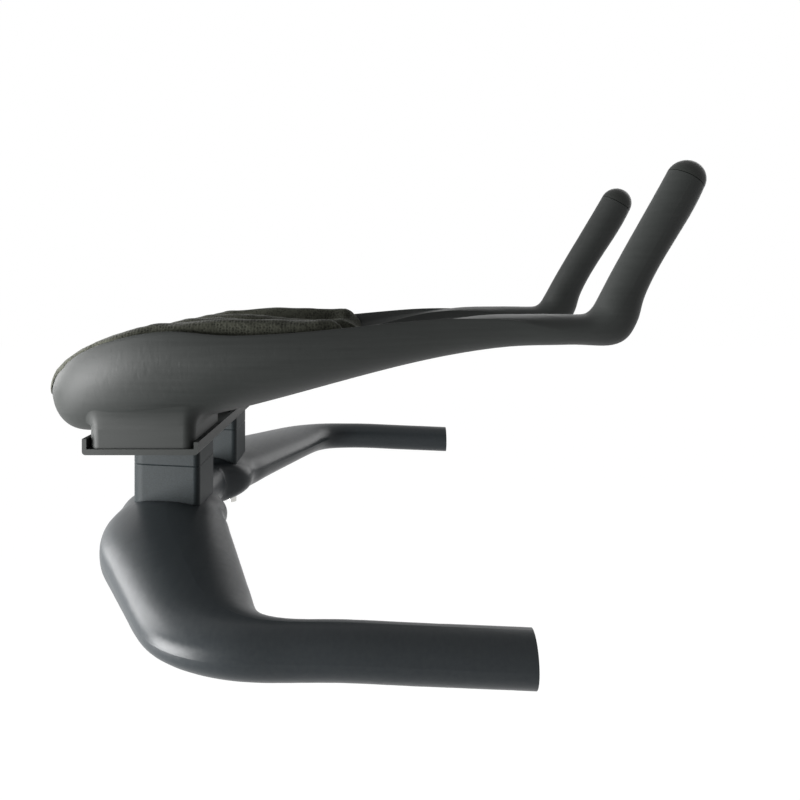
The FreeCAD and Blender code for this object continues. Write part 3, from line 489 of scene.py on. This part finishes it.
def rear_lip(tree, pad_tree, middle):
    """A closed strap that follows the rim round the rear of the scoop."""
    angles = [lip_limit * (2.0 * station / lip_stations - 1.0) for station in range(lip_stations + 1)]
    ways = [Vector((-math.cos(angle), math.sin(angle), 0.0)) for angle in angles]
    shares = [abs(angle) / lip_limit for angle in angles]
    found = [list(crown_point(tree, middle, way)) for way in ways]
    crowns = [Vector(row) for row in evened(found, crown_evening)]
    heights = evened([inner_heights(pad_tree, *row) for row in zip(crowns, ways, shares)], inner_evening)
    points = []
    for crown, way, share, inner in zip(crowns, ways, shares, heights):
        section = lip_section(tree, crown, way, share, inner)
        for out, up in section + section[:1]:
            points.append(crown + way * out + upwards * up)
    bpy.ops.object.select_all(action="DESELECT")
    bpy.ops.mesh.primitive_grid_add(x_subdivisions=len(section), y_subdivisions=lip_stations, calc_uvs=False)
    lip = bpy.context.object
    for corner, place in zip(lip.data.vertices, points):
        corner.co = place
    bpy.ops.object.mode_set(mode="EDIT")
    bpy.ops.mesh.select_all(action="SELECT")
    bpy.ops.mesh.remove_doubles(threshold=merge_distance)
    bpy.ops.mesh.fill_holes(sides=0)
    bpy.ops.object.mode_set(mode="OBJECT")
    face_outwards()
    return lip


def shape_front(mesh, tree):
    """Fills the cushion out towards its front, and rounds its nose from low in its thickness up."""
    front = max(point.co.x for point in mesh.vertices)
    for point in mesh.vertices:
        height = tree.ray_cast(point.co, downwards)[3]
        if height is None:
            continue
        share = within((height - under_gap) / pad_thickness)
        rise = eased(within((point.co.x - fill_start) / (fill_end - fill_start)))
        nose = within((point.co.x - front) / (2.0 * nose_round) + 1.0)
        lean = within((share - nose_low) / (1.0 - nose_low), lean_most)
        point.co.z += share * (front_fill * rise - nose_fall * nose * nose)
        point.co.x -= nose * nose_round * (1.0 - math.sqrt(1.0 - lean * lean))


def soften(pad, rounds):
    """Evens out the cushion's surface."""
    smooth = pad.modifiers.new("soften", "SMOOTH")
    smooth.factor = 0.5
    smooth.iterations = rounds
    bpy.ops.object.modifier_apply(modifier="soften")


def swell(pad):
    """Blows the cushion up as a sealed cloth, with each point held within the cover's stretch."""
    start = [point.co.copy() for point in pad.data.vertices]
    cloth = pad.modifiers.new("cover", "CLOTH")
    cloth.settings.use_pressure = True
    cloth.settings.uniform_pressure_force = pad_pressure
    cloth.settings.effector_weights.gravity = 0.0
    for number in range(1, swell_frames + 1):
        bpy.context.scene.frame_set(number)
    bpy.ops.object.modifier_apply(modifier="cover")
    for point, place_before in zip(pad.data.vertices, start):
        move = point.co - place_before
        if move.length > pad_swell:
            point.co = place_before + move.normalized() * pad_swell
    bpy.context.scene.frame_set(1)


def soft_pad(name, node, extension, side):
    """A cushion that starts a little smaller than the node's solid and swells into its place."""
    extension_tree = surface_tree(extension)
    middle = Vector((scoop_middle_x, side * scoop_middle_y, 0.0))
    lip = rear_lip(extension_tree, surface_tree(node), middle)
    bpy.ops.object.select_all(action="DESELECT")
    mesh = nodes[node].data.copy()
    mesh.materials.clear()
    pad = bpy.data.objects.new(name, mesh)
    bpy.context.scene.collection.objects.link(pad)
    pad.select_set(True)
    bpy.context.view_layer.objects.active = pad
    bpy.ops.object.mode_set(mode="EDIT")
    bpy.ops.mesh.select_all(action="SELECT")
    bpy.ops.mesh.remove_doubles(threshold=merge_distance)
    bpy.ops.transform.shrink_fatten(value=-pad_undersize)
    bpy.ops.object.mode_set(mode="OBJECT")
    lip.select_set(True)
    bpy.ops.object.join()
    pad.data.remesh_voxel_size = pad_voxel
    bpy.ops.object.voxel_remesh()
    shape_front(pad.data, extension_tree)
    soften(pad, relax_rounds)
    swell(pad)
    soften(pad, settle_rounds)
    finer = pad.modifiers.new("finer", "SUBSURF")
    finer.levels = 1
    finer.render_levels = 1
    bpy.ops.object.modifier_apply(modifier="finer")
    bpy.ops.object.shade_smooth()
    pad.data.materials.append(cover_knit)
    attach(pad, "root")
    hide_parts(node)


soft_pad("left_pad_cover", "left_arm_pad", "left_extension", 1.0)
soft_pad("right_pad_cover", "right_arm_pad", "right_extension", -1.0)

# Floor and light: a plain white floor well below the bar, as if it were held at riding height, in a pale
# room. One soft box stands behind the bar, a closer one low at its right rear, and one at the front on its
# left. Floor and room look whiter than the light they give.
floor_level = -0.6
floor_side = 16.0
floor_white_share = 0.93
floor_white_strength = 1.06
room_light = 0.2
room_seen = 1.0
pure_white = (1.0, 1.0, 1.0, 1.0)
bar_middle = (0.05, 0.0, 0.08)
riser_foot = (0.0, -0.12, 0.03)


def seen_rays(material):
    """One where a ray comes from the camera, a mirror or clear glass, and nought elsewhere."""
    path = add_node(material, "ShaderNodeLightPath")
    seen = path.outputs["Is Camera Ray"]
    for kind in ("Is Glossy Ray", "Is Transmission Ray"):
        either = add_node(material, "ShaderNodeMath", settings={"operation": "MAXIMUM"},
                          links={0: seen, 1: path.outputs[kind]})
        seen = either.outputs["Value"]
    return seen


def soft_box(name, place, target, side, power):
    """A square soft light that faces a point."""
    bpy.ops.object.select_all(action="DESELECT")
    turn = (Vector(target) - Vector(place)).to_track_quat("-Z", "Y").to_euler()
    bpy.ops.object.light_add(type="AREA", location=place, rotation=turn)
    lamp = bpy.context.object
    lamp.name = name
    lamp.data.shape = "SQUARE"
    lamp.data.size = side
    lamp.data.energy = power


bpy.ops.object.select_all(action="DESELECT")
bpy.ops.mesh.primitive_plane_add(size=floor_side, location=(0.0, 0.0, floor_level))
floor = bpy.context.object
floor.name = "floor"
floor_paint, shader = new_material("white_floor_paint", {"Base Color": linear("#f2f2f2"), "Roughness": 0.8})
white_share = add_node(floor_paint, "ShaderNodeMath", settings={"operation": "MULTIPLY"},
                       inputs={1: floor_white_share}, links={0: seen_rays(floor_paint)})
white = add_node(floor_paint, "ShaderNodeEmission",
                 inputs={"Color": pure_white, "Strength": floor_white_strength})
mixed = add_node(floor_paint, "ShaderNodeMixShader",
                 links={0: white_share.outputs["Value"],
                        1: shader.outputs["BSDF"], 2: white.outputs["Emission"]})
output = floor_paint.node_tree.nodes["Material Output"]
floor_paint.node_tree.links.new(mixed.outputs["Shader"], output.inputs["Surface"])
floor.data.materials.append(floor_paint)

room = bpy.data.worlds.new("pale_room")
room.use_nodes = True
bpy.context.scene.world = room
backdrop = room.node_tree.nodes["Background"]
backdrop.inputs["Color"].default_value = pure_white
strength = add_node(room, "ShaderNodeMapRange", inputs={"To Min": room_light, "To Max": room_seen},
                    links={"Value": seen_rays(room)})
room.node_tree.links.new(strength.outputs["Result"], backdrop.inputs["Strength"])

soft_box("rear_panel", (-0.75, 0.15, 0.3), bar_middle, 0.6, 10.0)
soft_box("rear_side_box", (-0.45, -0.36, -0.04), riser_foot, 0.36, 12.0)
soft_box("front_far_panel", (0.75, 0.75, 0.45), bar_middle, 0.8, 5.5)
